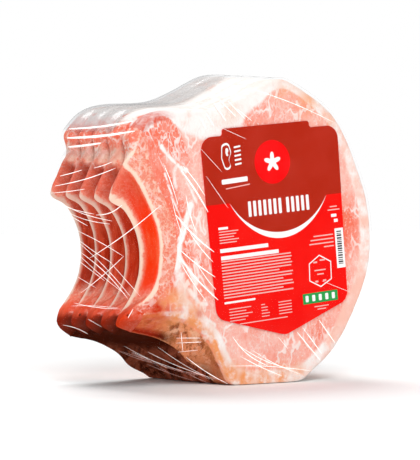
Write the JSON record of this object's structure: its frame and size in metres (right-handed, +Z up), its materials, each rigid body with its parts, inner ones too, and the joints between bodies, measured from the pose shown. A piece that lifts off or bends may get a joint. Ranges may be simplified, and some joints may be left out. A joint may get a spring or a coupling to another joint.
{
  "type": "film-wrapped pork chop pack",
  "caption": "Thick bone-in pork chops standing on edge as one stack, wrapped tightly in clear film, with a plain red label on the front cut face under the film.",
  "frame": {"origin": "centre of the bounding box at its base, on the surface that the pack stands on", "axes": "+Z up, -Y out of the labelled front cut face, +Y through the stack, -X towards the bone side, +X towards the rim of fat"},
  "size_m": [0.156, 0.0648, 0.1567],
  "materials": {
    "meat": "moist raw pork, pink with white marbling, a white rim of fat and darker muscle near the bone",
    "bone": "raw sawn bone, cream edge and rosy spongy core, red on the ribs' inner side",
    "label": "coated red label, darker above, with plain white bars and shapes in place of print",
    "film": "thin clear shrink film, glossy, with bright taut creases"
  },
  "bodies": {
    "root": {"chop_1_meat": "meat", "chop_1_bone": "bone", "chop_2_meat": "meat", "chop_2_bone": "bone", "chop_3_meat": "meat", "chop_3_bone": "bone", "chop_4_meat": "meat", "chop_4_bone": "bone", "chop_5_meat": "meat", "chop_5_bone": "bone", "label": "label", "film_wrap": "film"}
  },
  "joints": []
}
